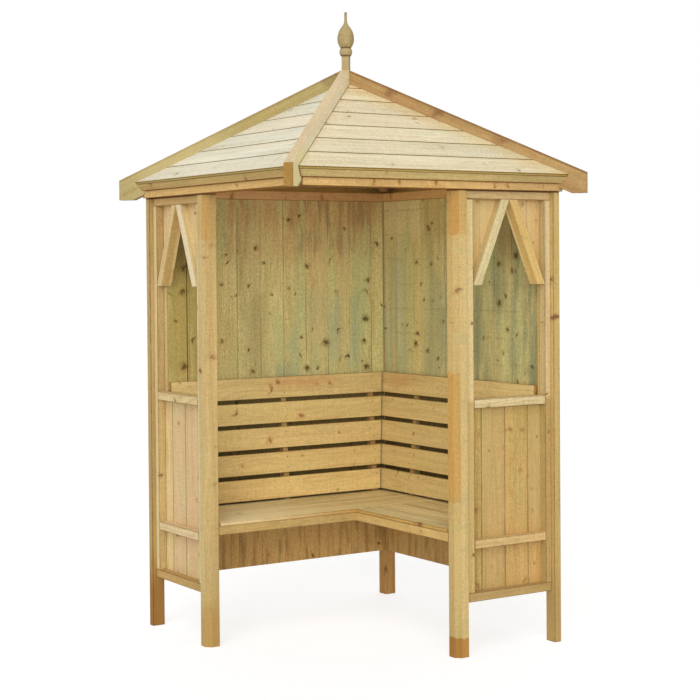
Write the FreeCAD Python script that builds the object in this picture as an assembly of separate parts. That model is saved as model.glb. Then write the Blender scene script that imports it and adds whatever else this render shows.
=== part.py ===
import FreeCAD, Part
import math
import os

# Corner arbour seat of softwood, in millimetres. The ground is z = 0 and the origin lies on the
# vertical axis of the finial. The solid walls stand on the -X and +Y sides and meet at the back
# corner, the two short side panels stand on the -Y and +X sides, and the way in faces (+X, -Y).
# Left means the -X wall and the -Y panel. The right-hand half mirrors it across the diagonal.

# Plan of the posts
footprint = 1220.0
wing = 516.0
corner_post = 54.0
front_post = 56.0
front_chamfer = 20.0
rear_post_width = 33.0
rear_post_depth = 54.0
post_height = 1794.0
ease = 2.0

# Frames of the side panels and the walls
frame_face = 35.0
frame_depth = 34.0
rear_stile = 29.0
front_stile = 44.0
wall_stile = 35.0
panel_recess = 18.0
bottom_rail_z = 204.5
mid_rail_z = 408.0
sill_z = 951.0
brace_foot_z = 1427.5
brace_foot = 39.0

# Tongued and grooved boards
board_cover = 115.5
board_thickness = 12.0
tongue = 6.0
tongue_thickness = 4.0
groove_play = 0.3
joint_chamfer = 3.0
narrowest_board = 16.0
panel_first_board = 84.0
left_wall_first_board = 69.0
right_wall_first_board = 120.5

# Seat
seat_top = 490.0
seat_thickness = 15.0
seat_rail = 34.0

# Backrest
slat_width = 92.0
slat_gap = 16.5
slat_thickness = 14.0
slat_count = 5
back_top = 1022.0
recline = 4.3
slat_end_gap = 10.0
corner_gap = 7.0
batten_width = 25.0
batten_top = 5.0
left_corner_margin = 84.0
left_panel_margin = 98.0
right_corner_margin = 264.0
right_panel_margin = 46.0
batten_count = 3

# Roof
beam_overhang = 9.0
beam_height = 39.0
fascia_face = 28.0
fascia_thickness = 18.0
fascia_lap = 13.0
roof_pitch = 31.5
rafter_pitch = 24.25
rafter_thickness = 35.5
rafter_depth = 100.0
rafter_proud = 32.0
tail_length = 52.0
tail_cut = 82.0
cleat_width = 24.0
cleat_depth = 22.0
cleat_top_gap = 90.0

# Clearance between fitted pieces, and how far a cutting shape stands out past what it cuts
fit = 0.2
past = 5.0

# Finial
shaft = 30.0
shaft_tail = 12.0
shaft_rise = 59.0
bead_height = 32.0
bead_radius = 26.0
neck_radius = 20.5
bulb_height = 37.0
bulb_radius = 34.0
flare_height = 77.0
spike_radius = 5.5
spike_height = 31.0

# Levels and lines that the pieces share
half = footprint / 2
wall_face = half - corner_post
wall_back = wall_face + board_thickness
panel_back = half - panel_recess - frame_depth
panel_face = panel_back - board_thickness
front_line = half - wing
seat_under = seat_top - seat_thickness
seat_rail_z = seat_under - seat_rail
top_rail_z = post_height - frame_face
beam_top = post_height + beam_height
recline_angle = math.radians(recline)
roof_angle = math.radians(roof_pitch)
rafter_angle = math.radians(rafter_pitch)


def vec(x, y, z):
    return FreeCAD.Vector(x, y, z)


def prism(points, sweep):
    """A closed polygon carried along the vector sweep."""
    return Part.Face(Part.makePolygon(points + [points[0]])).extrude(sweep)


def plan_prism(points, bottom, top):
    """A polygon of the plan, standing between two levels."""
    return prism([vec(x, y, bottom) for x, y in points], vec(0, 0, top - bottom))


def stick(along, x0, x1, y0, y1, z0, z1):
    """A sawn length with its four long arrises eased, lying along x, y or z."""
    low = {"x": x0, "y": y0, "z": z0}
    high = {"x": x1, "y": y1, "z": z1}
    a, b = [axis for axis in "xyz" if axis != along]
    outline = [
        (low[a] + ease, low[b]), (high[a] - ease, low[b]),
        (high[a], low[b] + ease), (high[a], high[b] - ease),
        (high[a] - ease, high[b]), (low[a] + ease, high[b]),
        (low[a], high[b] - ease), (low[a], low[b] + ease),
    ]
    points = [vec(**{a: p, b: q, along: low[along]}) for p, q in outline]
    return prism(points, vec(**{a: 0, b: 0, along: high[along] - low[along]}))


def to_right(shape):
    """The same piece on the right-hand half: (x, y) becomes (-y, -x)."""
    return shape.mirror(vec(0, 0, 0), vec(1, 1, 0))


def turned(shape, angle):
    """The piece turned about the vertical axis of the finial."""
    copy = shape.copy()
    copy.rotate(vec(0, 0, 0), vec(0, 0, 1), angle)
    return copy


def save(name, solids):
    shape = solids[0] if len(solids) == 1 else Part.makeCompound(solids)
    shape.exportStep("parts/" + name + ".step")


def save_pair(name, solids):
    """A piece of the left-hand half and its mirror image on the right."""
    save("left_" + name, solids)
    save("right_" + name, [to_right(solid) for solid in solids])


def board(start, across, through, run, low, high, thickness, grooved, tongued):
    """One matched board, whose face lies on the plane of start, across and run."""
    middle = thickness / 2
    half_tongue = tongue_thickness / 2
    half_groove = half_tongue + groove_play
    outline = [(low + joint_chamfer, 0), (high - joint_chamfer, 0), (high, joint_chamfer)]
    if tongued:
        outline += [
            (high, middle - half_tongue), (high + tongue, middle - half_tongue),
            (high + tongue, middle + half_tongue), (high, middle + half_tongue),
        ]
    outline += [
        (high, thickness - joint_chamfer), (high - joint_chamfer, thickness),
        (low + joint_chamfer, thickness), (low, thickness - joint_chamfer),
    ]
    if grooved:
        bottom = low + tongue + groove_play
        outline += [
            (low, middle + half_groove), (bottom, middle + half_groove),
            (bottom, middle - half_groove), (low, middle - half_groove),
        ]
    outline += [(low, joint_chamfer)]
    return prism([start + across * p + through * q for p, q in outline], run)


def boarding(start, across, through, run, width, first, thickness):
    """Matched boards side by side over a width; the first and the last are ripped to fit."""
    edges = [0.0]
    edge = first
    while edge < width - narrowest_board:
        edges.append(edge)
        edge += board_cover
    edges.append(width)
    last = len(edges) - 2
    return [
        board(start, across, through, run, low, high, thickness, i > 0, i < last)
        for i, (low, high) in enumerate(zip(edges[:-1], edges[1:]))
    ]


def solids_of(shapes):
    return [solid for shape in shapes for solid in shape.Solids]


# Posts
def posts():
    corner = stick("z", -half, -wall_face, wall_face, half, 0, post_height)
    save("back_corner_post", [corner])
    rear_x = -half + rear_post_width
    rear_y = -half + rear_post_depth
    save_pair("rear_post", [stick("z", -half, rear_x, -half, rear_y, 0, post_height)])
    front = stick("z", -front_line - front_post, -front_line, -half, -half + front_post, 0, post_height)
    corner_cut = plan_prism([
        (-front_line - front_chamfer, -half),
        (-front_line - front_chamfer, -half - past),
        (-front_line + past, -half - past),
        (-front_line + past, -half + front_chamfer),
        (-front_line, -half + front_chamfer),
    ], -past, post_height + past)
    save_pair("front_post", [front.cut(corner_cut)])


# Side panels
panel_rear = -half + rear_post_width
panel_front = -front_line - front_post
opening_rear = panel_rear + rear_stile
opening_front = panel_front - front_stile
panel_centre = (opening_rear + opening_front) / 2
half_opening = (opening_front - opening_rear) / 2


def side_frames():
    outer = -half + panel_recess
    inner = outer + frame_depth

    def rail(x0, x1, z):
        return stick("x", x0, x1, outer, inner, z, z + frame_face)

    def stile(x0, x1):
        return stick("z", x0, x1, outer, inner, bottom_rail_z + frame_face, top_rail_z)

    save_pair("panel_top_rail", [rail(panel_rear, panel_front, top_rail_z)])
    save_pair("panel_bottom_rail", [rail(panel_rear, panel_front, bottom_rail_z)])
    save_pair("panel_sill_rail", [rail(opening_rear, opening_front, sill_z)])
    save_pair("panel_mid_rail", [rail(opening_rear, opening_front, mid_rail_z)])
    save_pair("panel_rear_stile", [stile(panel_rear, opening_rear)])
    save_pair("panel_front_stile", [stile(opening_front, panel_front)])

    braces = []
    for side in (-1, 1):
        points = [
            (half_opening - brace_foot, brace_foot_z), (half_opening, brace_foot_z),
            (brace_foot, top_rail_z), (0, top_rail_z),
        ]
        outline = [vec(panel_centre + side * x, outer, z) for x, z in points]
        braces.append(prism(outline, vec(0, frame_depth, 0)))
    save_pair("panel_braces", braces)


def side_boards():
    """Upright boards behind the frame, cut out flush with the sill, the stiles and the braces."""
    start = vec(-wall_back, -panel_back, bottom_rail_z)
    run = vec(0, 0, post_height - bottom_rail_z)
    boards = boarding(start, vec(1, 0, 0), vec(0, 1, 0), run,
                      panel_front + wall_back, panel_first_board, board_thickness)
    points = [
        (-half_opening, sill_z + frame_face), (half_opening, sill_z + frame_face),
        (half_opening, brace_foot_z), (half_opening - brace_foot, brace_foot_z),
        (0, top_rail_z),
        (-half_opening + brace_foot, brace_foot_z), (-half_opening, brace_foot_z),
    ]
    outline = [vec(panel_centre + x, -panel_back - past, z) for x, z in points]
    window = prism(outline, vec(0, board_thickness + 2 * past, 0))
    save_pair("panel_boards", solids_of([one.cut(window) for one in boards]))


# Back walls
def back_walls():
    low_y = -half + rear_post_depth
    outer = -wall_back - frame_depth

    rails = [stick("y", outer, -wall_back, low_y, wall_face, z, z + frame_face)
             for z in (bottom_rail_z, sill_z, top_rail_z)]
    save_pair("wall_rails", rails)

    lengths = ((bottom_rail_z + frame_face, sill_z), (sill_z + frame_face, top_rail_z))
    places = ((low_y, low_y + wall_stile), (wall_face - wall_stile, wall_face))
    stiles = [stick("z", outer, -wall_back, y0, y1, z0, z1)
              for y0, y1 in places for z0, z1 in lengths]
    save_pair("wall_stiles", stiles)

    start = vec(-wall_face, wall_face, bottom_rail_z)
    run = vec(0, 0, post_height - bottom_rail_z)
    width = wall_face + panel_face
    for name, first in (("left", left_wall_first_board), ("right", right_wall_first_board)):
        boards = boarding(start, vec(0, -1, 0), vec(-1, 0, 0), run, width, first, board_thickness)
        if name == "right":
            boards = [to_right(one) for one in boards]
        save(name + "_wall_boards", boards)


# Seat
def seat():
    rail_top = seat_under
    apron_back = -front_line - seat_rail
    bearer = -wall_face + seat_rail

    def rail(along, x0, x1, y0, y1):
        return stick(along, x0, x1, y0, y1, seat_rail_z, rail_top)

    post_face = half - front_post
    save("left_seat_apron", [rail("y", apron_back, -front_line, -post_face, front_line + seat_rail)])
    save("right_seat_apron", [rail("x", -front_line, post_face, front_line, front_line + seat_rail)])
    save("left_wall_bearer", [rail("y", -wall_face, bearer, -panel_face, -bearer)])
    save("right_wall_bearer", [rail("x", -wall_face, panel_face, -bearer, wall_face)])
    end_bearer = rail("x", bearer, apron_back, -panel_face, -panel_face + seat_rail)
    save_pair("end_bearer", [end_bearer])
    save("seat_cross_joist", [rail("x", bearer, apron_back, front_line, front_line + seat_rail)])
    joist = -front_line - seat_rail / 2
    save("seat_corner_joist", [rail("y", joist, joist + seat_rail, front_line + seat_rail, -bearer)])

    depth = wall_face - front_line
    down = vec(0, 0, -1)
    left = boarding(vec(-front_line, -panel_face, seat_top), vec(-1, 0, 0), down,
                    vec(0, panel_face + wall_face, 0), depth, board_cover, seat_thickness)
    save("left_seat_boards", left)
    right = boarding(vec(-front_line, front_line, seat_top), vec(0, 1, 0), down,
                     vec(front_line + panel_face, 0, 0), depth, board_cover, seat_thickness)
    save("right_seat_boards", right)


# Backrests
def slats(low_y, high_y):
    """The reclined slats on the left wall, from the top one down."""
    top = vec(-wall_face + batten_top, low_y, back_top)
    down = vec(math.sin(recline_angle), 0, -math.cos(recline_angle))
    out = vec(math.cos(recline_angle), 0, math.sin(recline_angle))
    outline = [
        (ease, 0), (slat_width - ease, 0), (slat_width, ease), (slat_width, slat_thickness - ease),
        (slat_width - ease, slat_thickness), (ease, slat_thickness), (0, slat_thickness - ease), (0, ease),
    ]
    made = []
    for k in range(slat_count):
        start = top + down * (k * (slat_width + slat_gap))
        points = [start + down * p + out * q for p, q in outline]
        made.append(prism(points, vec(0, high_y - low_y, 0)))
    return made


def battens(corner_margin, panel_margin):
    """Tapered uprights between the left wall and the slats, standing on the seat."""
    foot = batten_top + (back_top - seat_top) * math.tan(recline_angle)
    run = wall_face - corner_margin + panel_face - panel_margin
    made = []
    for k in range(batten_count):
        y = wall_face - corner_margin - k * run / (batten_count - 1) - batten_width / 2
        points = [
            vec(-wall_face, y, seat_top), vec(-wall_face + foot, y, seat_top),
            vec(-wall_face + batten_top, y, back_top), vec(-wall_face, y, back_top),
        ]
        made.append(prism(points, vec(0, batten_width, 0)))
    return made


def backrests():
    end = -panel_face + slat_end_gap
    right = [to_right(one) for one in slats(end, wall_face - fit)]
    save("right_back_slats", right)
    # the left slats stop short of the leaning faces of the right ones
    front = half - (corner_post + batten_top + slat_thickness / math.cos(recline_angle))
    lean = (back_top - seat_top) * math.tan(recline_angle)
    stop = prism([
        vec(-half, front - corner_gap, back_top), vec(-half, front - corner_gap - lean, seat_top),
        vec(-half, half, seat_top), vec(-half, half, back_top + slat_width),
        vec(-half, front - corner_gap + lean * slat_width / (back_top - seat_top), back_top + slat_width),
    ], vec(footprint, 0, 0))
    save("left_back_slats", [one.cut(stop) for one in slats(end, wall_face)])
    save("left_back_battens", battens(left_corner_margin, left_panel_margin))
    right_battens = battens(right_corner_margin, right_panel_margin)
    save("right_back_battens", [to_right(one) for one in right_battens])


# Roof: each slope is made over the -Y side and turned into place
beam_half = half + beam_overhang
fascia_foot = board_thickness + fascia_face + fit
eave = beam_half + fascia_lap * math.cos(roof_angle) + fascia_foot * math.sin(roof_angle)
eave_z = beam_top - fascia_lap * math.sin(roof_angle) + fascia_foot * math.cos(roof_angle)
slope_length = eave / math.cos(roof_angle)
up_slope = vec(0, math.cos(roof_angle), math.sin(roof_angle))
under_slope = vec(0, math.sin(roof_angle), -math.cos(roof_angle))
slopes = (("left", 0), ("right", 90), ("back_right", 180), ("back_left", 270))
corners = (("front", -45), ("right", 45), ("back", 135), ("left", 225))

# Rafter over a corner: distances from the finial's axis, and levels
rafter_rise = math.tan(rafter_angle)
rafter_height = rafter_depth / math.cos(rafter_angle)
rafter_end = shaft / 2 + fit
tail = eave * math.sqrt(2) + tail_length
tail_top = eave_z + rafter_proud - tail_length * rafter_rise
tail_flat = (rafter_height - tail_cut) / rafter_rise
crown = tail_top + (tail - rafter_end) * rafter_rise


def bay(inset):
    """The room between two hip rafters, drawn in by inset from their sides."""
    point = (rafter_thickness / 2 + inset) * math.sqrt(2)
    far = 2 * footprint
    return plan_prism([(0, -point), (far - point, -far), (point - far, -far)], 0, 2 * far)


def slope_slab(low, high, top, bottom):
    """A level strip of the slope, from low to high up it and from top to bottom through it."""
    eave_line = vec(-footprint, -eave, eave_z)
    corners_of_strip = ((low, top), (high, top), (high, bottom), (low, bottom))
    points = [eave_line + up_slope * p + under_slope * q for p, q in corners_of_strip]
    return prism(points, vec(2 * footprint, 0, 0))


def rafter_blank(extra):
    """The rafter over the +X axis, thicker and deeper by extra on each side and below."""
    side = rafter_thickness / 2 + extra
    outline = [
        (rafter_end, crown), (tail, tail_top), (tail, tail_top - tail_cut - extra),
        (tail - tail_flat, tail_top - tail_cut - extra), (rafter_end, crown - rafter_height - extra),
    ]
    return prism([vec(s, -side, z) for s, z in outline], vec(0, 2 * side, 0))


def slope_pieces():
    clear = bay(fit)
    meeting = bay(fit / 2 - rafter_thickness / 2)
    notches = [turned(rafter_blank(fit), angle) for angle in (-45, -135)]
    start = vec(-footprint, -eave, eave_z)
    run = vec(2 * footprint, 0, 0)
    boards = boarding(start, up_slope, under_slope, run, slope_length, board_cover, board_thickness)
    boards = solids_of([one.common(clear) for one in boards])
    fascia = slope_slab(0, fascia_thickness, board_thickness, board_thickness + fascia_face).common(clear)
    beam = stick("x", -footprint, footprint, -beam_half, -wall_face, post_height, beam_top)
    beam = beam.common(meeting).cut(notches)
    low = (eave - wall_face) / math.cos(roof_angle) + cleat_depth
    high = slope_length - cleat_top_gap / math.cos(roof_angle)
    strip = slope_slab(low, high, board_thickness, board_thickness + cleat_depth)
    cleats = strip.common(clear).cut(bay(fit + cleat_width)).Solids
    all_cleats = []
    for name, angle in slopes:
        save(name + "_roof_boards", [turned(one, angle) for one in boards])
        save(name + "_fascia", [turned(fascia, angle)])
        save(name + "_ring_beam", [turned(beam, angle)])
        all_cleats += [turned(one, angle) for one in cleats]
    save("roof_cleats", all_cleats)


def rafters():
    # both edges of the inner end are bevelled, so that four rafters meet round the shaft
    point = fit / 2
    far = 2 * footprint
    wedge = plan_prism([(point, 0), (far, point - far), (far, far - point)], 0, 2 * far)
    rafter = rafter_blank(0).common(wedge)
    for name, angle in corners:
        save(name + "_rafter", [turned(rafter, angle)])


def finial():
    bottom = crown - rafter_height - shaft_tail
    bead_z = crown + shaft_rise
    neck_z = bead_z + bead_height
    bulb_z = neck_z + bulb_height
    spike_z = bulb_z + flare_height
    tip_z = spike_z + spike_height

    square = plan_prism([(-shaft / 2, -shaft / 2), (shaft / 2, -shaft / 2),
                         (shaft / 2, shaft / 2), (-shaft / 2, shaft / 2)], bottom, bead_z)
    square = turned(square, 45)

    bead = Part.Arc(vec(neck_radius, 0, bead_z), vec(bead_radius, 0, bead_z + bead_height / 2),
                    vec(neck_radius, 0, neck_z))
    bulb = Part.Arc(vec(neck_radius, 0, neck_z), vec(bulb_radius * 0.87, 0, neck_z + bulb_height * 0.4),
                    vec(bulb_radius, 0, bulb_z))
    # the shoulder and the flare are two arcs of one turn, upright where they start and end
    turn = 2 * math.atan((bulb_radius - spike_radius) / flare_height)
    both = flare_height / math.sin(turn)
    shoulder_radius = both * 2 / 3
    flare_radius = both / 3

    def on_shoulder(angle):
        return vec(bulb_radius - shoulder_radius * (1 - math.cos(angle)), 0,
                   bulb_z + shoulder_radius * math.sin(angle))

    def on_flare(angle):
        return vec(spike_radius + flare_radius * (1 - math.cos(angle)), 0,
                   spike_z - flare_radius * math.sin(angle))

    shoulder = Part.Arc(on_shoulder(0), on_shoulder(turn / 2), on_shoulder(turn))
    flare = Part.Arc(on_shoulder(turn), on_flare(turn / 2), on_flare(0)).toBSpline()
    edges = [
        Part.makeLine(vec(0, 0, bead_z), vec(neck_radius, 0, bead_z)),
        bead.toShape(), bulb.toShape(), shoulder.toShape(), flare.toShape(),
        Part.makeLine(vec(spike_radius, 0, spike_z), vec(spike_radius, 0, tip_z)),
        Part.makeLine(vec(spike_radius, 0, tip_z), vec(0, 0, tip_z)),
        Part.makeLine(vec(0, 0, tip_z), vec(0, 0, bead_z)),
    ]
    turning = Part.Face(Part.Wire(edges)).revolve(vec(0, 0, 0), vec(0, 0, 1), 360)
    save("finial", [square.fuse(turning).removeSplitter()])


os.makedirs("parts", exist_ok=True)
posts()
side_frames()
side_boards()
back_walls()
seat()
backrests()
slope_pieces()
rafters()
finial()
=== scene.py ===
import itertools
from math import atan2, cos, pi, radians, sin
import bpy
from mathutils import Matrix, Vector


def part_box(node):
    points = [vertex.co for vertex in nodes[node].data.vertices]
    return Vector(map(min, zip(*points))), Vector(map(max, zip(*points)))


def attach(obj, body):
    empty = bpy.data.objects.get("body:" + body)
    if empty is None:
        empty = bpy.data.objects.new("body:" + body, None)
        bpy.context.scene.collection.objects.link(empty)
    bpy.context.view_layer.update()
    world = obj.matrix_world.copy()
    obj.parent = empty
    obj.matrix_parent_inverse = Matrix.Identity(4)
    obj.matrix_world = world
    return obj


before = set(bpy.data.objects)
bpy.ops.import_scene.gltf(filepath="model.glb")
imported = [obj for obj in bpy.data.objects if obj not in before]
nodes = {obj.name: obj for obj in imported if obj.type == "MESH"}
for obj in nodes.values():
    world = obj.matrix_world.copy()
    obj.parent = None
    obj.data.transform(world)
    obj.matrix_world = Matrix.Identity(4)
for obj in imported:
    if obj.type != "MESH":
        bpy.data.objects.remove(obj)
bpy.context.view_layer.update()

from types import SimpleNamespace

import bpy
import numpy as np
from mathutils import Matrix, Vector

# Corner arbour seat of pale pressure-treated softwood, in metres. The frame brings every piece of
# timber. Here each one gets its own grain, knots and weathering, with painted light and shade on
# some faces, and the nails are added.

EAST = Vector((1, 0, 0))
NORTH = Vector((0, 1, 0))
UP = Vector((0, 0, 1))
NORTH_EAST = Vector((1, 1, 0)).normalized()
SOUTH_EAST = Vector((1, -1, 0)).normalized()

# Sizes that the finishes share with the timber
board_cover = 0.1155
roof_pitch = radians(31.5)
rafter_pitch = radians(24.25)
eave = 0.65109
eave_level = 1.86048
crown_level = 2.3004
rafter_thickness = 0.0355
beam_underside = 1.794
brace_lean = atan2(0.138, 0.3315)
panel_centre = 0.371
panel_boards_end = 0.568
panel_first_seam = 0.084
sill_level = 0.98
wall_face = 0.556
wall_first_seam = {"left": 0.069, "right": 0.1205}
seat_underside = 0.475
seat_first_seam = 0.094
recline = radians(4.3)
slat_count = 5
slat_width = 0.092
slat_pitch = 0.1085
slat_thickness = 0.014
back_top = 1.022
back_foot = 0.551
wood_relief = 0.0006


def paint(red, green, blue):
    """A colour as a screen shows it, 0 to 255, turned into light."""
    parts = [c / 255 for c in (red, green, blue)]
    return tuple(c / 12.92 if c <= 0.04045 else ((c + 0.055) / 1.055) ** 2.4 for c in parts) + (1.0,)


class Wire:
    """A value that flows from one node to another. Signs such as + and * add the node that works
    them out, on numbers or, axis by axis, on vectors."""

    def __init__(self, recipe, socket):
        self.socket = socket
        self.add_node = recipe.add
        self.math = recipe.math

    def __add__(self, other):
        return self.math("ADD", self, other)

    def __sub__(self, other):
        return self.math("SUBTRACT", self, other)

    def __rsub__(self, other):
        return self.math("SUBTRACT", other, self)

    def __mul__(self, other):
        return self.math("MULTIPLY", self, other)

    def __truediv__(self, other):
        return self.math("DIVIDE", self, other)

    def __abs__(self):
        return self.math("ABSOLUTE", self)

    def least(self, other):
        return self.math("MINIMUM", self, other)

    def most(self, other):
        return self.math("MAXIMUM", self, other)

    def line(self, slope, start):
        """The value times slope, plus start."""
        return self.math("MULTIPLY_ADD", self, slope, start)

    def dot(self, other):
        return self.math("DOT_PRODUCT", self, other)

    def length(self):
        return self.math("LENGTH", self)

    def rise(self, low, high):
        """0 at low and 1 at high, with a smooth change between."""
        return self.add_node("MapRange", (self, low, high), interpolation_type="SMOOTHSTEP")[0]

    def fall(self, low, high):
        """1 at low and 0 at high, with a smooth change between."""
        return 1.0 - self.rise(low, high)

    def noise(self, fineness=(1, 1, 1), detail=2.0, roughness=0.5):
        """Smooth noise at a place, with about this many grains to a metre along each axis."""
        inputs = {"Vector": self * fineness, "Scale": 1.0, "Detail": detail, "Roughness": roughness}
        return self.add_node("TexNoise", inputs)[0]


class Recipe:
    """Adds nodes to a node tree. A wire given as an input is linked, and a number is typed in."""

    def __init__(self, tree):
        self.tree = tree

    def wires(self, sockets):
        """The outputs of a node as wires, by name and by number."""
        return {key: Wire(self, socket) for number, socket in enumerate(sockets)
                for key in (socket.name, number)}

    def fill(self, sockets, inputs):
        for key, value in inputs.items() if isinstance(inputs, dict) else enumerate(inputs):
            if isinstance(value, Wire):
                self.tree.links.new(value.socket, sockets[key])
            else:
                sockets[key].default_value = value

    def add(self, kind, inputs=(), **settings):
        """A new shader node of this kind. Gives its wires."""
        made = self.tree.nodes.new("ShaderNode" + kind)
        for name, value in settings.items():
            setattr(made, name, value)
        self.fill(made.inputs, inputs)
        return self.wires(made.outputs)

    def math(self, operation, *inputs):
        kinds = [one.socket.type for one in inputs if isinstance(one, Wire)]
        if "VECTOR" in kinds or "RGBA" in kinds:
            made = self.add("VectorMath", inputs, operation=operation)
            return made["Value" if operation in ("DOT_PRODUCT", "LENGTH") else "Vector"]
        return self.add("Math", inputs, operation=operation)[0]

    def mix(self, share, first, second, blend="MIX"):
        inputs = {0: share, 6: first, 7: second}
        return self.add("Mix", inputs, data_type="RGBA", blend_type=blend)[2]

    def split(self, vector):
        made = self.add("SeparateXYZ", (vector,))
        return made[0], made[1], made[2]

    def join(self, x, y, z):
        return self.add("CombineXYZ", (x, y, z))[0]


def new_group(name, inputs, outputs):
    """An empty node group: its recipe, its inputs as wires and the sockets that take its results."""
    tree = bpy.data.node_groups.new(name, "ShaderNodeTree")
    for way, kinds in (("INPUT", inputs), ("OUTPUT", outputs)):
        for kind, labels in kinds.items():
            for label in labels.split(", "):
                tree.interface.new_socket(label, in_out=way, socket_type="NodeSocket" + kind)
    r = Recipe(tree)
    return r, r.wires(tree.nodes.new("NodeGroupInput").outputs), tree.nodes.new("NodeGroupOutput").inputs


def make_board_place():
    """Where a point lies in its own board, which board that is, and whether it is in a joint.

    Mirror marks the axes whose two halves carry the same pattern turned over: there the distance
    from Mirror At is used. The distance along Across, less First, divided by Cover and rounded
    down is the number of the board.
    """
    r, given, results = new_group(
        "board_place",
        {"Vector": "Position, Along, Across, Through, Mirror, Mirror At",
         "Float": "Cover, First, Depth, Joint Width"},
        {"Vector": "Place", "Float": "Board, Joint"})
    away = given["Position"] - given["Mirror At"]
    folded = given["Mirror At"] + abs(away)
    place = given["Position"] + (folded - given["Position"]) * given["Mirror"]
    side = (r.math("SIGN", away) * given["Mirror"]).dot((1, 2, 4))
    count = (place.dot(given["Across"]) - given["First"]) / given["Cover"]
    board = r.math("FLOOR", count)
    share = count - board - 0.5
    inward = (0.5 - abs(share)) * given["Cover"] / given["Joint Width"]
    r.fill(results, {
        "Place": r.join(place.dot(given["Along"]), share * given["Cover"],
                        place.dot(given["Through"]) - given["Depth"]),
        "Board": side.line(11.0, board),
        "Joint": inward.fall(0.4, 1.0)})
    return r.tree


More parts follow.
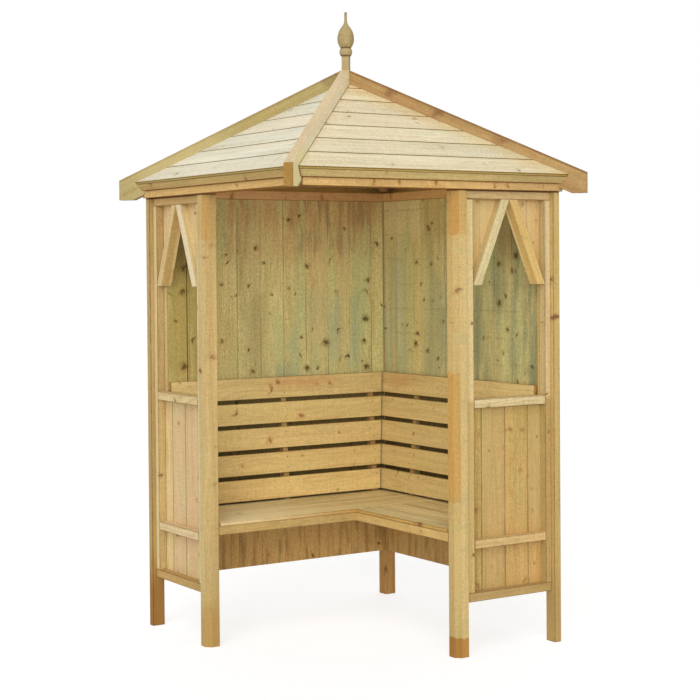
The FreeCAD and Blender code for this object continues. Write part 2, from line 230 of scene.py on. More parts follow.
def make_softwood():
    """Sawn softwood: growth rings, streaks, fibres, knots and mottling, different on each board.

    A ring is the distance from the heart of the tree, which lies outside the board and wanders
    along it, so a face shows tongues of grain and an end shows arcs. Near a knot the distance
    grows, and the rings flow round it. A knot is the foot of a branch that crosses the board: an
    ellipse, turned and bent a little, with a torn edge.
    """
    r, given, results = new_group(
        "softwood",
        {"Vector": "Place", "Color": "Pale, Dark, Blotch, Knot Colour",
         "Float": "Board, Seed, Blotches, Grain, Knots, Knot Size, Spread, Streaks"},
        {"Color": "Color, Knot Tone", "Float": "Knot, Roughness, Height"})
    number = given["Seed"].line(37.7, given["Board"])
    first = r.add("TexWhiteNoise", {"W": number}, noise_dimensions="1D")["Color"]
    second = r.add("TexWhiteNoise", {"W": number + 0.37}, noise_dimensions="1D")["Color"]
    two, three = r.split(first)[1:]
    four, five, six = r.split(second)
    own = given["Place"] + first * (9, 9, 9)
    y, z = r.split(given["Place"])[1:]

    def nearest_cell(cell, measure, randomness):
        """The way to the nearest point of a stretched cell pattern, and its three random numbers."""
        place = own / cell
        found = r.add("TexVoronoi", {"Vector": place, "Scale": 1.0, "Randomness": randomness})
        return (found["Position"] - place) * measure, r.split(found["Color"])

    # Knots
    knot_cell = (0.15, 0.055, 0.07)
    to_knot, (chance, size, kind) = nearest_cell(knot_cell, knot_cell, 0.85)
    along, across, deep = r.split(to_knot)
    turn = kind.line(2.2, 0.5)
    cosine = r.math("COSINE", turn)
    sine = r.math("SINE", turn)
    long_way = along * cosine + across * sine
    short_way = across * cosine - along * sine
    bend = long_way * long_way * size.line(80.0, -40.0)
    stretch = r.math("FRACT", kind * 7.0).line(2.0, 1.1)
    off = r.join(long_way / stretch, short_way + bend, deep * 0.2).length()
    torn = own.noise((170, 190, 90))
    reach = off * torn.line(2.2, -0.1)
    radius = r.math("POWER", size, 1.6).line(0.65, 0.35) * given["Knot Size"]
    there = r.math("LESS_THAN", chance, given["Knots"])
    ratio = reach / (there.most(0.001) * radius)
    heart = ratio.fall(0.7, 1.2)
    halo = ratio.fall(0.9, 3.0)
    bark = ratio.rise(0.5, 0.95) * ratio.fall(1.0, 1.4)

    # Pin knots, a few millimetres across
    to_speck, (speck_chance, speck_size, _) = nearest_cell((0.06, 0.028, 0.05), (0.06, 0.028, 0.01), 1.0)
    speck_there = r.math("LESS_THAN", speck_chance, given["Knots"] * 0.3)
    speck_reach = speck_size.line(0.0022, 0.0012) * speck_there
    speck = (to_speck.length() / (speck_reach + 0.0001)).fall(0.4, 1.1) * speck_there

    # Rings
    heart_y = (two - 0.5) * 0.12
    heart_z = own.noise((1.6, 3.0, 3.0), 1.5).line(0.10, three.line(0.07, -0.02))
    distance = r.join(y - heart_y, z + heart_z, 0.0).length()
    swell = halo * 0.008 * (size + 0.3)
    rings = (distance + swell).line(150.0, own.noise((3, 30, 30)) * 2.4)
    phase = r.math("FRACT", rings)
    late = phase.rise(0.35, 0.9) * phase.fall(0.92, 1.0)
    years = r.join(rings * 0.45, number, 0.0).noise(detail=1.0).rise(0.3, 0.7)

    fibre = own.noise((9, 210, 210), 3.0, 0.6)
    streak = own.noise((1.3, 52.0, 52.0), 2.0, 0.6)
    blotch = own.noise((2, 13, 13), 3.0, 0.6)
    ribs = own.noise((130, 14, 14), 2.0, 0.6)
    saw = (ribs - 0.5).line(0.3, own.noise((110, 150, 150), 2.0, 0.7))

    # Colour
    dark = late.line(0.55, years * 0.5) * given["Grain"]
    dark = dark + (fibre - 0.4) * 0.9
    dark = dark + (streak - 0.48) * (given["Streaks"] * 2.4)
    colour = r.mix(dark, given["Pale"], given["Dark"])
    patch = (five - 0.5).line(0.22, blotch).rise(0.44, 0.62)
    colour = r.mix(patch * given["Blotches"], colour, given["Blotch"])
    tone = (blotch - 0.5).line(0.3, 1.0) + (four - 0.5) * given["Spread"]
    tone = (saw - 0.5).line(0.65, tone)
    redder = six.line(0.07, -0.035)
    colour = r.mix(1.0, colour, r.join(tone + redder, tone, tone - redder), "MULTIPLY")
    colour = r.mix(halo * 0.5, colour, given["Dark"])
    greyer_knot = r.mix(0.6, given["Knot Colour"], paint(74, 54, 40))
    darker_knot = r.mix(0.45, given["Knot Colour"], paint(40, 26, 16))
    knot = r.mix(r.math("FRACT", kind * 3.0) * 0.6, given["Knot Colour"], greyer_knot)
    cover = heart.most(bark * 0.6) * 0.85
    relief = saw.line(0.5, late.line(0.3, fibre * 0.7))
    r.fill(results, {
        "Color": colour,
        "Knot": cover.most(speck * 0.75),
        "Knot Tone": r.mix(bark * 0.5, knot, darker_knot),
        "Roughness": fibre.line(0.25, heart.line(-0.12, 0.58)),
        "Height": heart.line(0.5, relief)})
    return r.tree


def make_mark():
    """A soft-edged patch round a point: 1 in its middle and 0 outside, with a ragged edge."""
    r, given, results = new_group(
        "mark",
        {"Vector": "Position, Centre, Reach, Fineness", "Float": "Ragged, Edge"},
        {"Float": "Mask"})
    away = (given["Position"] - given["Centre"]) / given["Reach"]
    ragged = (given["Position"].noise(given["Fineness"], 4.0, 0.6) - 0.5) * given["Ragged"]
    r.fill(results, {"Mask": (away.length() + ragged).fall(1.0 - given["Edge"], 1.0)})
    return r.tree


board_place = make_board_place()
softwood = make_softwood()
mark = make_mark()


def look(pale, dark, blotch=None, blotches=0.0, grain=0.45, knots=0.28, knot_size=0.009,
         knot=(128, 80, 48), end=(214, 186, 150), joint=0.0, joint_colour=(74, 54, 36),
         joint_break=0.0, joint_width=0.0036, streaks=0.5, spread=0.12):
    """The colours and the character of one kind of timber."""
    wood = {"Pale": paint(*pale), "Dark": paint(*dark), "Blotch": paint(*(blotch or dark)),
            "Blotches": blotches, "Grain": grain, "Knots": knots, "Knot Size": knot_size,
            "Knot Colour": paint(*knot), "Spread": spread, "Streaks": streaks}
    return SimpleNamespace(wood=wood, end=paint(*end), joint=joint, joint_colour=paint(*joint_colour),
                           joint_break=joint_break, joint_width=joint_width)


def new_material(name):
    """A new material and the recipe for its nodes."""
    material = bpy.data.materials.new(name)
    material.use_nodes = True
    return material, Recipe(material.node_tree)


def laid(marks, r, point, normal, colour):
    """The colour with all the marks on it, one after another."""
    for one in marks:
        colour = one(r, point, normal, colour)
    return colour


seeds = itertools.count(1)


def timber(name, kind, along, across, cover=1.0, first=None, mirror=(0, 0, 0), mirror_at=(0, 0, 0),
           marks=(), shades=()):
    """Gives a node its own timber. Marks lie under the knots and shades over them. Without first,
    the whole node is one board about its middle."""
    along, across = along.normalized(), across.normalized()
    through = along.cross(across)
    low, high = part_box(name)
    middle = (low + high) / 2
    if first is None:
        first = middle.dot(across) - cover / 2
    material, r = new_material(name + "_wood")
    coordinates = r.add("TexCoord")
    point = coordinates["Object"]
    normal = coordinates["Normal"]
    place = r.add("Group", {
        "Position": point, "Along": along, "Across": across, "Through": through,
        "Mirror": mirror, "Mirror At": mirror_at, "Cover": cover, "First": first,
        "Depth": middle.dot(through), "Joint Width": kind.joint_width}, node_tree=board_place)
    wood = r.add("Group", {
        "Place": place["Place"], "Board": place["Board"], "Seed": float(next(seeds)),
        **kind.wood}, node_tree=softwood)
    ends = abs(normal.dot(along)).rise(0.6, 0.9)
    colour = r.mix(ends, wood["Color"], kind.end, "MULTIPLY")
    if kind.joint:
        edge = abs(normal.dot(across)).rise(0.95, 0.8)
        joint = place["Joint"] * edge * kind.joint
        if kind.joint_break:
            worn = point.noise((9, 9, 3)).rise(0.42, 0.62)
            joint = joint * worn.line(kind.joint_break, 1 - kind.joint_break)
        colour = r.mix(joint, colour, kind.joint_colour)
    colour = laid(marks, r, point, normal, colour)
    colour = r.mix(wood["Knot"], colour, wood["Knot Tone"])
    colour = laid(shades, r, point, normal, colour)
    bump = r.add("Bump", {"Strength": 0.6, "Distance": wood_relief, "Height": wood["Height"]})
    r.fill(r.tree.nodes["Principled BSDF"].inputs, {
        "Base Color": colour, "Roughness": wood["Roughness"], "Specular IOR Level": 0.25,
        "Normal": bump[0]})
    slots = nodes[name].data.materials
    slots.clear()
    slots.append(material)


# Marks. Each is a function that lays it on the colour below, at a point that faces along a normal.
def coat(mask, colour, strength=1.0, blend="MULTIPLY"):
    """A colour laid on where the mask is 1, and not where it is 0."""
    def lay(r, point, normal, below):
        return r.mix(mask(r, point, normal) * strength, below, paint(*colour), blend)
    return lay


def facing(normal, direction, full=0.6):
    """1 on the faces that look one way."""
    return normal.dot(direction).rise(0.3, full)


def shaded_edges(name, strength=0.5, width=0.0035):
    """Dirt and shade along the arrises of a squared stick. Of the distances from a point to the
    stick's planes along the three axes, the middle one is its distance from the nearest arris."""
    low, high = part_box(name)
    middle = (low + high) / 2
    half = (high - low) / 2

    def mask(r, point, normal):
        x, y, z = r.split(tuple(half) - abs(point - middle))
        arris = x.least(y).most(x.most(y).least(z))
        uneven = point.noise((40, 40, 40))
        return arris.fall(width * 0.3, width) * uneven.line(1.0, 0.3)
    return coat(mask, (142, 114, 82), strength)


def shaded_top(across, ridge, strength):
    """A dark line along the two top arrises of a hip rafter, whose top plane has ridge as its
    normal and passes through the crown."""
    width = 0.004

    def mask(r, point, normal):
        from_side = rafter_thickness / 2 - abs(point.dot(across))
        from_top = crown_level * ridge.z - point.dot(ridge)
        return from_side.most(from_top).fall(width * 0.3, width)
    return coat(mask, (150, 122, 88), strength)


def shaded_hips():
    """A dark line on the roof boards, where they run under the hip rafters."""
    def mask(r, point, normal):
        nearest = abs(point.dot(NORTH_EAST)).least(abs(point.dot(SOUTH_EAST)))
        return (nearest - rafter_thickness / 2).fall(0.0, 0.006)
    return coat(mask, (150, 128, 86), 0.8)


def colour_patch(centre, reach, colour, strength, edge=0.6, ragged=0.5, fineness=(9, 9, 5), blend="MIX"):
    """A patch of another colour round a point. Most are stains and tones of the wood; a few are
    painted light and painted shade.
    """
    def mask(r, point, normal):
        return r.add("Group", {
            "Position": point, "Centre": centre, "Reach": reach, "Edge": edge, "Ragged": ragged,
            "Fineness": fineness}, node_tree=mark)["Mask"]
    return coat(mask, colour, strength, blend)


def only_on(direction, marks):
    """Marks that show only on the faces that look one way."""
    def lay(r, point, normal, below):
        marked = laid(marks, r, point, normal, below)
        return r.mix(facing(normal, direction), below, marked)
    return lay


def knotted(spots, flat, colour, round_it, strength):
    """Single knots, each with its centre and its radius. Flat has a 0 for the axis across the face,
    which doesn't count. A knot has a dark heart in a ring of stain. Noise moves the points about
    before the distances are taken, which bends and tears both."""
    def lay(r, point, normal, below):
        noise = r.add("TexNoise", {"Vector": point, "Scale": 52.0, "Detail": 2.5, "Roughness": 0.65})["Color"]
        moved = point + noise.line((0.044, 0.044, 0.03), (-0.022, -0.022, -0.015))
        torn = point.noise((170, 170, 90), 2.0, 0.7)
        nearest = 9.0
        for centre, radius in spots:
            away = (moved - centre) * [part / radius for part in flat]
            nearest = away.length().least(nearest)
        heart = (nearest * torn.line(1.6, 0.25)).fall(0.35, 1.0)
        ringed = r.mix(nearest.fall(0.6, 2.0) * 0.5, below, paint(*round_it))
        return r.mix(heart * strength, ringed, paint(*colour))
    return lay


def seam(across, level, width, colour, strength):
    """A soft line where a surface meets the plane with this normal and level. Its dark lines here are
    mostly painted shade, along gaps, hollows and inner corners.
    """
    return coat(lambda r, point, normal: abs(point.dot(across) - level).fall(width * 0.3, width),
                colour, strength)


def streaked(low, high, colour, strength, fineness, share, fade=0.4):
    """Ragged streaks of another colour between two corners, which fade towards the sides."""
    middle = (low + high) / 2
    half = (high - low) / 2
    gain = 0.12

    def mask(r, point, normal):
        x, y, z = r.split(abs((point - middle) / half))
        inside = x.most(y).most(z).fall(1 - fade, 1.0)
        streaks = inside.line(gain, point.noise(fineness, 3.0, 0.6))
        return inside * streaks.rise(share[0] + gain, share[1] + gain)
    return coat(mask, colour, strength, "MIX")


def mottled(colour, strength):
    """Fine uneven grime all over."""
    def mask(r, point, normal):
        return point.noise((140, 140, 90), 2.0, 0.6).rise(0.4, 0.62)
    return coat(mask, colour, strength)


def level_band(low, high, direction, colour, strength, blend="MULTIPLY"):
    """A level band with sharp ends on the faces that look one way. On the front posts it is where the
    wood lay covered and below the seat the boards' own brown; on the left rear stile and on the wall
    behind the backrest it is painted shade.
    """
    def mask(r, point, normal):
        height = (point.noise((60, 60, 20)) - 0.5).line(0.02, r.split(point)[2])
        band = height.rise(low - 0.004, low + 0.004) * height.fall(high - 0.004, high + 0.004)
        return band * facing(normal, direction)
    return coat(mask, colour, strength, blend)


def smudged(direction, pitch, colour, strength):
    """Faint level smudges on the faces that look one way, at uneven heights."""
    def mask(r, point, normal):
        smudge = r.join(0.0, 7.3, r.split(point)[2] / pitch).noise(detail=1.0).rise(0.55, 0.68)
        return smudge * facing(normal, direction)
    return coat(mask, colour, strength, "MIX")


def tinted_side(direction, colour, strength=1.0):
    """A tint on the faces that look one way. Mostly it is painted light and shade, which makes one
    face of a piece lighter or darker than another; on the walls' outer faces it is their own brown.
    """
    return coat(lambda r, point, normal: facing(normal, direction, 0.7), colour, strength)


def tinted_beyond(direction, start, colour):
    """A tint on the piece of a pair that lies farther one way."""
    return coat(lambda r, point, normal: point.dot(direction).rise(start - 0.001, start + 0.001),
                colour)


def tinted_below(level, colour):
    """A tint below a level, with an uneven edge."""
    soft = 0.02

    def mask(r, point, normal):
        height = point.noise((9, 9, 4), 3.0).line(soft, r.split(point)[2])
        return height.fall(level - soft * 0.2, level + soft)
    return coat(mask, colour)


def stacking_lines(first, pitch, width, colour, strength):
    """Faint level lines, where laths lay between the boards while they dried."""
    def mask(r, point, normal):
        wobble = point.noise((7, 7, 7)) * 0.02
        count = (r.split(point)[2] + wobble - first) / pitch
        away = r.math("PINGPONG", count, 0.5) * pitch
        broken = point.noise((11, 11, 5)).rise(0.4, 0.6)
        return away.fall(width * 0.3, width) * broken
    return coat(mask, colour, strength, "MIX")


# Kinds of timber
framing = look((192, 160, 103), (165, 130, 72), spread=0.1)
mid_framing = look((220, 190, 134), (192, 158, 99), knots=0.2, knot_size=0.007, spread=0.1)
pink_framing = look((234, 207, 160), (208, 176, 128), knots=0.15, knot_size=0.006)
pink_braces = look((235, 220, 184), (209, 188, 146), knots=0.1, knot_size=0.007, spread=0.04)
pale_braces = look((222, 206, 155), (196, 173, 118), knots=0.3, knot_size=0.007, spread=0.04)
bright_framing = look((233, 209, 152), (209, 179, 117), knots=0.2, knot_size=0.006, spread=0.08)
rear_framing = look((230, 207, 153), (202, 174, 117), knots=0.2, knot_size=0.006, spread=0.08)
sill = look((227, 205, 155), (197, 169, 112), grain=0.7, knots=0.2)
yellow_post = look((213, 190, 134), (184, 154, 96), knots=0.3, knot_size=0.008, spread=0.05)
red_post = look((218, 194, 134), (191, 161, 99), (206, 177, 119), 0.3, knots=0.3, knot_size=0.008,
                knot=(150, 96, 56), spread=0.05)
rear_post = look((206, 178, 113), (174, 142, 78), (186, 160, 108), 0.3, knots=0.15, spread=0.05)
dark_post = look((192, 149, 87), (158, 114, 60), spread=0.05)
pink_boards = look((228, 208, 154), (197, 165, 110), (217, 179, 138), 0.6, knots=0.34,
                   knot_size=0.007, knot=(150, 100, 66), joint=0.65, joint_colour=(110, 74, 48),
                   joint_break=0.2, streaks=0.6, spread=0.2)
tan_boards = look((205, 182, 115), (167, 136, 73), (203, 159, 105), 0.45, grain=0.5, knots=0.2,
                  knot_size=0.007, knot=(168, 108, 62), joint=0.6, joint_break=0.25, streaks=0.6,
                  spread=0.14)
wall_boards = look((215, 200, 138), (177, 156, 95), (181, 186, 129), 0.55, grain=0.4, knots=0.45,
                   knot_size=0.0068, knot=(82, 58, 28), joint=0.55, joint_colour=(104, 76, 42),
                   joint_break=0.7, spread=0.2)
slats = look((216, 189, 128), (183, 152, 91), (201, 181, 116), 0.5, grain=0.4, knots=0.12,
             knot_size=0.007, knot=(150, 92, 58), streaks=0.35, spread=0.1)
seat_wood = look((231, 212, 158), (183, 156, 101), (209, 189, 140), 0.5, grain=0.6, knots=0.15,
                 joint=0.35, streaks=0.9)
apron_wood = look((191, 158, 98), (159, 125, 70), knots=0.3, knot_size=0.007)
pale_apron = look((201, 170, 107), (168, 136, 78), knots=0.3, knot_size=0.006)
roof_finish = {"blotches": 0.5, "grain": 0.35, "knot_size": 0.008, "knot": (176, 142, 102),
               "joint": 0.9, "joint_width": 0.0047, "streaks": 0.7, "spread": 0.09}
roof_wood = look((236, 227, 198), (208, 189, 146), (231, 211, 179), knots=0.35,
                 joint_colour=(146, 126, 62), **roof_finish)
greyed_roof = look((234, 230, 207), (206, 192, 155), (230, 217, 190), knots=0.3,
                   joint_colour=(146, 126, 70), **roof_finish)
pale_rafter = look((231, 215, 185), (201, 182, 144), knots=0.15)
olive_rafter = look((188, 169, 112), (158, 135, 78), (176, 150, 94), 0.4, knots=0.3, knot_size=0.007)
front_rafter = look((254, 246, 214), (236, 220, 176), knots=0.0, end=(164, 134, 80))
brown_rafter = look((182, 150, 97), (146, 112, 66), (160, 116, 78), 0.4, knots=0.2, knot=(100, 58, 40))
brown_fascia = look((213, 179, 112), (176, 140, 80), knots=0.5, knot_size=0.007, knot=(112, 74, 44))
green_fascia = look((220, 190, 125), (183, 154, 92), (174, 160, 102), 0.5, knots=0.2)
beam_wood = look((231, 194, 127), (198, 159, 95), knots=0.5, knot_size=0.008, knot=(176, 118, 68))
turned_wood = look((184, 162, 114), (155, 130, 80), knots=0.0)
hidden_wood = look((180, 146, 90), (150, 116, 66))


# The larger knots. On the panels, walls and slats each has its distance along the face, its height
# and its radius, in millimetres, and elsewhere its centre and its radius in metres.
panel_knots = {
    "left": ((-431, 860, 10), (-274, 561, 7)),
    "right": (
        (376, 856, 8), (458, 850, 12), (337, 753, 6), (505, 615, 9), (507, 529, 8), (232, 546, 8),
        (301, 324, 6), (514, 315, 6), (318, 1686, 9), (460, 1744, 9), (536, 1684, 5), (526, 1590, 5))}
wall_knots = {
    "left": (
        (-464, 1500, 17), (-465, 1401, 14), (-465, 1085, 16), (-505, 1279, 7), (-264, 1555, 7),
        (-75, 1519, 7), (-112, 1584, 7), (149, 1506, 11), (297, 1393, 6), (469, 1440, 12),
        (-281, 1430, 10), (-38, 1383, 6), (457, 1267, 15), (447, 1164, 12), (244, 1163, 17),
        (120, 1194, 9), (460, 1047, 14), (202, 1053, 9), (147, 1053, 13), (-135, 1050, 10),
        (-281, 1187, 9), (340, 1673, 9)),
    "right": (
        (-205, 1667, 11), (-186, 1513, 8), (-262, 1423, 7), (-306, 1159, 14), (-218, 1130, 10),
        (-141, 1100, 8), (-98, 1260, 9), (292, 1346, 16), (344, 1240, 9), (183, 1198, 8), (317, 1141, 7),
        (400, 1544, 16), (290, 1509, 13), (376, 1478, 11), (334, 1376, 9))}
slat_knots = {
    "left": (
        (-22, 1000, 10), (180, 983, 6), (91, 848, 15), (-72, 752, 15), (88, 673, 7), (-217, 652, 8),
        (286, 763, 6)),
    "right": ((-269, 762, 7), (-260, 674, 8), (-135, 880, 6))}
brace_knots = {
    "left": [((-0.49, -0.59, 1.5), 0.005)],
    "right": [((0.59, 0.464, 1.501), 0.006), ((0.59, 0.48, 1.464), 0.01), ((0.59, 0.474, 1.438), 0.012)]}
beam_knots = [((0, y, 1.813), radius) for y, radius in (
    (-0.284, 0.008), (-0.169, 0.007), (0.001, 0.008), (0.281, 0.007), (0.34, 0.008), (0.52, 0.006))]
post_knots = [((-0.1, -0.572, 1.591), 0.01), ((-0.1, -0.576, 1.15), 0.014), ((-0.1, -0.572, 0.643), 0.008)]
all_round = (1, 1, 1)


def on_face(along, spots):
    """Centres and radii, in metres, of the knots of a face that runs this way."""
    return [(along * (far / 1000) + UP * (height / 1000), radius / 1000) for far, height, radius in spots]


# Frames, panels and walls. The left half lies on -X and -Y, and the right half mirrors it.
def panels():
    # The tints on the rear stiles' jamb and front faces, and the band above the sill on the left one, are
    # painted shade.
    stile_marks = {
        "left_panel_front": [],
        "left_panel_rear": [tinted_side(EAST, (220, 214, 200)),
                            level_band(sill_level, 2.0, EAST, (235, 228, 219), 1.0)],
        "right_panel_front": [tinted_below(sill_level, (233, 224, 202))],
        "right_panel_rear": [
            tinted_side(-NORTH, (228, 228, 222)), tinted_side(EAST, (244, 240, 240)),
            tinted_below(sill_level, (240, 234, 214)),
            only_on(EAST, [
                tinted_below(sill_level, (240, 234, 226)),
                colour_patch((0.59, 0.575, 1.72), (0.1, 0.1, 0.36), (236, 218, 172), 0.3)])]}
    # One side of each brace is painted darker, as shade.
    brace_marks = {
        "left": [tinted_beyond(-EAST, panel_centre, (244, 228, 198)), tinted_side(EAST, (234, 228, 204))],
        "right": [tinted_beyond(NORTH, panel_centre, (253, 235, 202)), tinted_side(-NORTH, (248, 245, 238))]}
    over_brace = (0.3, 0.3, 0.45)
    # The boards' faces that look east get painted shade.
    board_marks = {
        "left": [colour_patch((-panel_centre, -0.55, 1.72), over_brace, (230, 204, 154), 0.6, 0.8, 0.3),
                 tinted_side(EAST, (225, 220, 206))],
        "right": [colour_patch((0.55, panel_centre, 1.72), over_brace, (240, 214, 160), 0.6, 0.8, 0.3),
                  tinted_side(EAST, (255, 253, 250))]}
    board_tones = {
        "left": [],
        "right": [colour_patch((0.55, 0.31, 0.62), (0.1, 0.07, 0.7), (208, 168, 112), 0.3, 0.4, 0.2),
                  colour_patch((0.55, 0.53, 0.72), (0.1, 0.06, 0.4), (196, 178, 122), 0.4, 0.5, 0.2)]}
    foot = (0.3, 0.3, 0.36)
    post_marks = {
        "left": [tinted_beyond(EAST, -0.597, (242, 241, 254)),
                 colour_patch((-0.6, -0.6, 0.0), foot, (150, 100, 34), 0.8, 0.6, 0.3)],
        "right": [colour_patch((0.6, 0.6, 0.0), foot, (172, 134, 80), 0.5, 0.6, 0.3)]}
    # Painted shadow in the gap under the ring beam, on the rails and the posts.
    shadow_under_beam = seam(UP, beam_underside, 0.008, (92, 66, 40), 0.85)
    for side, run, to_way_in, middle_rail, braces, boards in (
            ("left", EAST, EAST, pink_framing, pink_braces, pink_boards),
            ("right", NORTH, -NORTH, mid_framing, pale_braces, tan_boards)):
        panel = side + "_panel"
        for rail, kind in (("top", mid_framing), ("bottom", framing), ("sill", sill), ("mid", middle_rail)):
            name = f"{panel}_{rail}_rail"
            # Painted shade on the south face of the left top rail.
            shaded_front_face = [tinted_side(-NORTH, (236, 231, 219))] if name == "left_panel_top_rail" else []
            timber(name, kind, run, UP, marks=shaded_front_face, shades=[shaded_edges(name, 0.75, 0.004), shadow_under_beam])
        for stile, kind, strength in (("front", bright_framing, 0.9), ("rear", rear_framing, 0.5)):
            name = f"{panel}_{stile}_stile"
            timber(name, kind, UP, run, marks=stile_marks[f"{panel}_{stile}"],
                   shades=[shaded_edges(name, strength, 0.0045)])
        along = UP * cos(brace_lean) - run * sin(brace_lean)
        across = run * cos(brace_lean) + UP * sin(brace_lean)
        knots = knotted(brace_knots[side], all_round, (120, 74, 36), (186, 140, 80), 0.8)
        timber(panel + "_braces", braces, along, across, mirror=run, mirror_at=to_way_in * -panel_centre,
               marks=brace_marks[side] + [knots])
        knots = knotted(on_face(run, panel_knots[side]), run + UP, (164, 104, 62), (184, 140, 86), 0.7)
        timber(panel + "_boards", boards, UP, to_way_in, board_cover, panel_first_seam - panel_boards_end,
               marks=board_marks[side] + [mottled((222, 206, 178), 0.25), knots] + board_tones[side])
        name = side + "_rear_post"
        timber(name, rear_post, UP, run, marks=post_marks[side],
               shades=[shaded_edges(name, 0.8, 0.004), shadow_under_beam])
    timber("left_front_post", yellow_post, UP, EAST, shades=[shadow_under_beam], marks=[
        knotted(post_knots, all_round, (130, 84, 46), (176, 142, 88), 0.7),
        # Painted shade on the face that looks east, into the way in.
        tinted_side(EAST, (230, 220, 206), 0.9),
        *[level_band(1.61, 2.0, way, (250, 238, 220), 0.8) for way in (-NORTH, EAST)],
        colour_patch((-0.12, -0.60, 0.0), (0.2, 0.2, 0.24), (178, 136, 64), 0.6, 0.6, 0.3)])
    timber("right_front_post", red_post, UP, EAST, shades=[shadow_under_beam], marks=[
        # Painted shade on the face that looks south.
        tinted_side(-NORTH, (231, 227, 219)),
        smudged(EAST, 0.055, (184, 170, 116), 0.35),
        only_on(-NORTH, [colour_patch((0.58, 0.10, 0.30), (0.1, 0.1, 0.24), (230, 206, 140), 0.15)]),
        level_band(1.62, 2.0, (0.4, -0.92, 0.0), (252, 236, 212), 1.0),
        level_band(1.62, 2.0, EAST, (249, 238, 218), 0.9),
        level_band(0.597, 1.093, (0.2, -0.98, 0.0), (252, 232, 200), 1.0),
        level_band(-0.1, 0.076, (0.7, -0.7, 0.0), (219, 187, 143), 1.0)])
    timber("back_corner_post", dark_post, UP, EAST)


# Weathering of the walls' inner faces, by the share and the fineness of its streaks. Each patch has
# its start and end along the wall, its heights, its colour and its strength.
cream = ((0.46, 0.68), (22, 22, 1))
bloom = ((0.3, 0.7), (13.0, 13.0, 2.5))
haze = ((0.3, 0.6), (20, 20, 3))
smoke = ((0.42, 0.64), (36, 36, 6))
wall_patches = {
    "left": (
        (cream, -0.22, 0.46, 1.05, 1.76, (206, 178, 130), 0.45),
        (bloom, -0.22, 0.14, 0.94, 1.4, (172, 172, 122), 0.35),
        (bloom, 0.0, 0.5, 0.92, 1.46, (156, 172, 134), 0.5),
        (bloom, -0.12, 0.12, 0.92, 1.1, (138, 154, 132), 0.36),
        (bloom, 0.24, 0.44, 1.02, 1.42, (156, 174, 146), 0.4),
        (bloom, -0.6, 0.0, 0.94, 1.44, (158, 138, 84), 0.4),
        (haze, -0.36, 0.66, 1.44, 2.2, (204, 160, 110), 0.45),
        (haze, -0.5, 0.72, 1.64, 1.98, (196, 142, 92), 0.4),
        (smoke, -0.3, -0.12, 1.48, 1.88, (128, 100, 72), 0.3),
        (smoke, -0.02, 0.56, 1.5, 1.94, (112, 94, 74), 0.36)),
    "right": (
        (cream, -0.6, -0.34, 0.95, 2.2, (210, 199, 152), 0.8),
        (cream, -0.34, -0.24, 1.0, 1.9, (214, 176, 114), 0.5),
        (cream, 0.26, 0.42, 1.24, 1.8, (206, 180, 126), 0.4),
        (bloom, -0.64, -0.32, 0.9, 1.6, (170, 184, 154), 0.5),
        (bloom, -0.26, 0.04, 0.94, 1.8, (140, 134, 84), 0.45),
        (bloom, -0.28, -0.02, 0.84, 1.56, (156, 168, 138), 0.4),
        (bloom, -0.06, 0.7, 0.8, 1.76, (130, 140, 106), 0.6),
        (bloom, 0.36, 0.6, 0.9, 1.76, (102, 108, 80), 0.55),
        (bloom, 0.1, 0.31, 0.8, 1.5, (116, 126, 98), 0.35),
        (haze, -0.28, 0.02, 1.56, 2.1, (196, 150, 84), 0.4),
        (smoke, -0.26, 0.56, 1.5, 1.94, (132, 116, 70), 0.12))}


def wall_marks(side, inward, through, along):
    """Weathering of the inner faces: smoke-brown streaks under the beam and blue-green bloom lower
    down, with painted shade in the inner corner and behind the right window and painted light high
    in the right wall's corner. The outer faces, and the boards below the seat on both sides, stay
    brown. The dark wall behind the backrest is painted shade, which walls() lays on."""
    left = side == "left"

    def patch(start, end, low, high, *finish):
        first = along * start - inward * wall_face - through * 0.03 + UP * low
        last = along * end - inward * wall_face + through * 0.03 + UP * high
        return streaked(first, last, *finish)

    marks = [patch(start, end, low, high, colour, strength, fineness, share)
             for (share, fineness), start, end, low, high, colour, strength in wall_patches[side]]
    corner_shade = (110, 92, 60)
    # High on the wall behind each window lies a dark patch; on the right it is painted shade. The pale patch
    # high on the right wall near the corner is painted light against the roof's shade.
    if left:
        marks += [patch(-0.80, -0.27, 0.9, 2.3, (160, 138, 68), 0.72, (20, 20, 1), (0.25, 0.55), 0.3),
                  colour_patch((-wall_face, -0.46, 1.70), (0.14, 0.14, 0.34), (104, 80, 34), 0.66, 0.7, 0.4)]
    else:
        marks += [patch(-0.64, -0.20, 1.56, 2.3, (236, 214, 156), 0.7, (20, 20, 1), (0.25, 0.55)),
                  stacking_lines(1.213, 0.11, 0.006, (116, 108, 76), 0.19),
                  colour_patch((0.34, wall_face, 1.70), (0.14, 0.14, 0.26), (104, 80, 34), 0.5, 0.7, 0.4)]
    marks += [level_band(0.0, seat_underside, inward, (210, 160, 93), 0.75, "MIX"),
              patch(-0.7, 0.7, -0.1, seat_underside, (116, 82, 44), 0.55, (34.0, 34.0, 4.5), (0.44, 0.7),
                    0.02),
              mottled((206, 194, 160), 0.4),
              knotted(on_face(along, wall_knots[side]), along + UP, (80, 58, 26), (120, 96, 46), 0.85)]
    # The two dark lines at the walls' meeting corner are painted shade.
    if left:
        marks += [seam(NORTH, wall_face, 0.006, corner_shade, 0.7),
                  seam(NORTH, -0.449, 0.004, (92, 70, 40), 0.8)]
    else:
        marks += [seam(EAST, -wall_face, 0.006, corner_shade, 0.7)]
    return [only_on(inward, marks), tinted_side(-inward, (255, 232, 216))]


